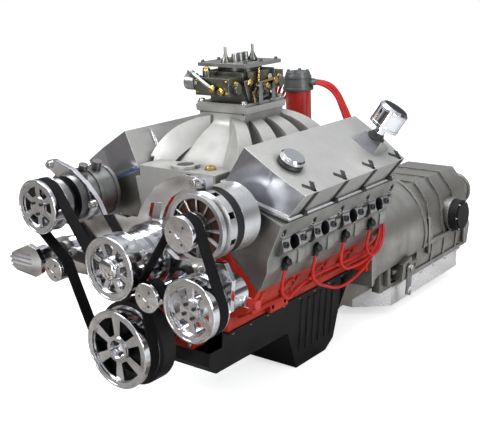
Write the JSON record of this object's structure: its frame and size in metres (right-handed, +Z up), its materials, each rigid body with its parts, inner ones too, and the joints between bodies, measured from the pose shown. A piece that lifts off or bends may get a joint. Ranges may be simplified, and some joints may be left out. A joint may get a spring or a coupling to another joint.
{
  "type": "engine assembly",
  "caption": "Complete pushrod vee engine with carburettor, polished serpentine accessory drive, distributor ignition and automatic transmission behind it",
  "frame": {"origin": "on the crankshaft's axis, midway between the block's two side mounts", "axes": "+X engine's left side, -Y front with the pulleys, +Y along the transmission to its tail, +Z up"},
  "size_m": [0.721, 1.72, 0.855],
  "materials": {
    "engine_red": "glossy red-orange engine enamel over cast iron",
    "black_paint": "satin black paint",
    "cast_alloy": "bare cast aluminium, fine grain",
    "cover_satin": "matte grey cast aluminium with polished front faces",
    "polished": "mirror-polished billet aluminium",
    "chrome": "bright chrome plate",
    "forged_steel": "machined and oiled steel",
    "iron": "dark cast iron",
    "gold_cast": "gold-green dichromate finish on zinc castings",
    "rubber": "black belt rubber",
    "lead_red": "red silicone ignition lead",
    "cap_red": "red moulded plastic",
    "cap_grey": "grey moulded plastic",
    "gasket_blue": "blue silicone gasket",
    "gasket_steel": "layered steel gasket"
  },
  "bodies": {
    "engine": {"engine_block": "engine_red", "main_caps": "iron", "pistons": "cast_alloy", "timing_chain": "forged_steel", "timing_cover": "engine_red", "oil_pan": "black_paint", "oil_pump": "iron", "serpentine_belt": "rubber", "idler_arm": "polished", "tensioner_housing": "polished", "accessory_plate": "polished", "water_pump_body": "polished", "alternator_housing": "polished", "alternator_stator": "black_paint", "compressor_body": "polished", "steering_pump": "polished", "steering_port_caps": "cap_red", "cylinder_head_left": "cast_alloy", "cylinder_head_right": "cast_alloy", "valve_cover_left": "cover_satin", "valve_cover_right": "cover_satin", "head_gaskets": "gasket_steel", "valve_gear": "forged_steel", "valve_cover_gaskets": "gasket_blue", "intake_manifold": "cast_alloy", "carb_throttle_body": "cast_alloy", "carb_main_body": "gold_cast", "carb_float_bowls": "gold_cast", "carb_air_horn": "gold_cast", "distributor_body": "cap_red", "distributor_cap": "cap_grey", "spark_plugs": "forged_steel", "ignition_leads": "lead_red", "transmission_case": "cast_alloy", "tail_housing": "cast_alloy", "transmission_pan": "chrome", "servo_cover": "black_paint", "bell_plate": "cast_alloy"},
    "crank": {"crankshaft": "forged_steel", "vibration_damper": "black_paint", "crank_pulley": "polished", "flexplate": "forged_steel", "torque_converter": "forged_steel"},
    "cam": {"camshaft": "iron"},
    "water_pump_rotor": {"water_pump_pulley": "polished"},
    "steering_rotor": {"steering_pulley": "polished"},
    "compressor_rotor": {"compressor_pulley": "polished"},
    "alternator_spinner": {"alternator_pulley": "polished", "alternator_fan": "polished", "alternator_rotor": "forged_steel"},
    "idler": {"idler_pulley": "polished"},
    "tension_swing": {"tensioner_arm": "cast_alloy"},
    "tension_roller": {"tensioner_pulley": "polished"},
    "primary_butterflies": {"primary_throttle": "forged_steel"},
    "secondary_butterflies": {"secondary_throttle": "forged_steel"},
    "spark_rotor": {"distributor_rotor": "forged_steel"},
    "selector": {"shift_lever": "forged_steel"},
    "output": {"output_shaft": "forged_steel"},
    "oil_cap": {"oil_filler_cap": "chrome"},
    "breather_cap": {"breather": "chrome"}
  },
  "joints": [
    {"name": "crank_spin", "type": "hinge", "parent": "engine", "child": "crank", "pos_m": [0, 0, 0], "axis": [0, 1, 0], "continuous": true},
    {"name": "cam_spin", "type": "hinge", "parent": "engine", "child": "cam", "pos_m": [0, 0, 0.131], "axis": [0, 1, 0], "continuous": true},
    {"name": "water_pump_spin", "type": "hinge", "parent": "engine", "child": "water_pump_rotor", "pos_m": [0, -0.3, 0.192], "axis": [0, 1, 0], "continuous": true},
    {"name": "steering_spin", "type": "hinge", "parent": "engine", "child": "steering_rotor", "pos_m": [0.227, -0.3, 0.142], "axis": [0, 1, 0], "continuous": true},
    {"name": "compressor_spin", "type": "hinge", "parent": "engine", "child": "compressor_rotor", "pos_m": [-0.236, -0.3, 0.296], "axis": [0, 1, 0], "continuous": true},
    {"name": "alternator_spin", "type": "hinge", "parent": "engine", "child": "alternator_spinner", "pos_m": [0.205, -0.3, 0.3], "axis": [0, 1, 0], "continuous": true},
    {"name": "idler_spin", "type": "hinge", "parent": "engine", "child": "idler", "pos_m": [0.1, -0.3, 0.142], "axis": [0, 1, 0], "continuous": true},
    {"name": "tensioner_swing", "type": "hinge", "parent": "engine", "child": "tension_swing", "pos_m": [-0.272, -0.34, 0.158], "axis": [0, 1, 0], "range_deg": [0, 25], "stiffness_Nm_per_rad": 6, "springref_deg": -20.05},
    {"name": "tensioner_roll", "type": "hinge", "parent": "tension_swing", "child": "tension_roller", "pos_m": [-0.198, -0.366, 0.15], "axis": [0, 1, 0], "continuous": true},
    {"name": "primary_open", "type": "hinge", "parent": "engine", "child": "primary_butterflies", "pos_m": [0, 0.056, 0.505], "axis": [1, 0, 0], "range_deg": [0, 75]},
    {"name": "secondary_open", "type": "hinge", "parent": "engine", "child": "secondary_butterflies", "pos_m": [0, 0.108, 0.505], "axis": [1, 0, 0], "range_deg": [0, 75]},
    {"name": "rotor_spin", "type": "hinge", "parent": "engine", "child": "spark_rotor", "pos_m": [0, 0.33, 0.4], "axis": [0, 0, 1], "continuous": true},
    {"name": "selector_swing", "type": "hinge", "parent": "engine", "child": "selector", "pos_m": [0.18, 0.62, -0.07], "axis": [1, 0, 0], "range_deg": [-20, 20]},
    {"name": "output_spin", "type": "hinge", "parent": "engine", "child": "output", "pos_m": [0, 1.2, 0], "axis": [0, 1, 0], "continuous": true},
    {"name": "oil_cap_pull", "type": "slide", "parent": "engine", "child": "oil_cap", "axis": [0.5164, 0, 0.8564], "range_m": [0, 0.03]},
    {"name": "breather_pull", "type": "slide", "parent": "engine", "child": "breather_cap", "axis": [0.5202, 0.2001, 0.8303], "range_m": [0, 0.06]}
  ],
  "couplings": [
    {"joint": "cam_spin", "follows": "crank_spin", "ratio": 0.5},
    {"joint": "water_pump_spin", "follows": "crank_spin", "ratio": -1.2915},
    {"joint": "steering_spin", "follows": "crank_spin", "ratio": 1.3323},
    {"joint": "compressor_spin", "follows": "crank_spin", "ratio": 1.4501},
    {"joint": "alternator_spin", "follows": "crank_spin", "ratio": 2.4749},
    {"joint": "idler_spin", "follows": "crank_spin", "ratio": -2.8038},
    {"joint": "tensioner_roll", "follows": "crank_spin", "ratio": -2.8954},
    {"joint": "rotor_spin", "follows": "crank_spin", "ratio": 0.5},
    {"joint": "secondary_open", "follows": "primary_open", "ratio": 1}
  ]
}
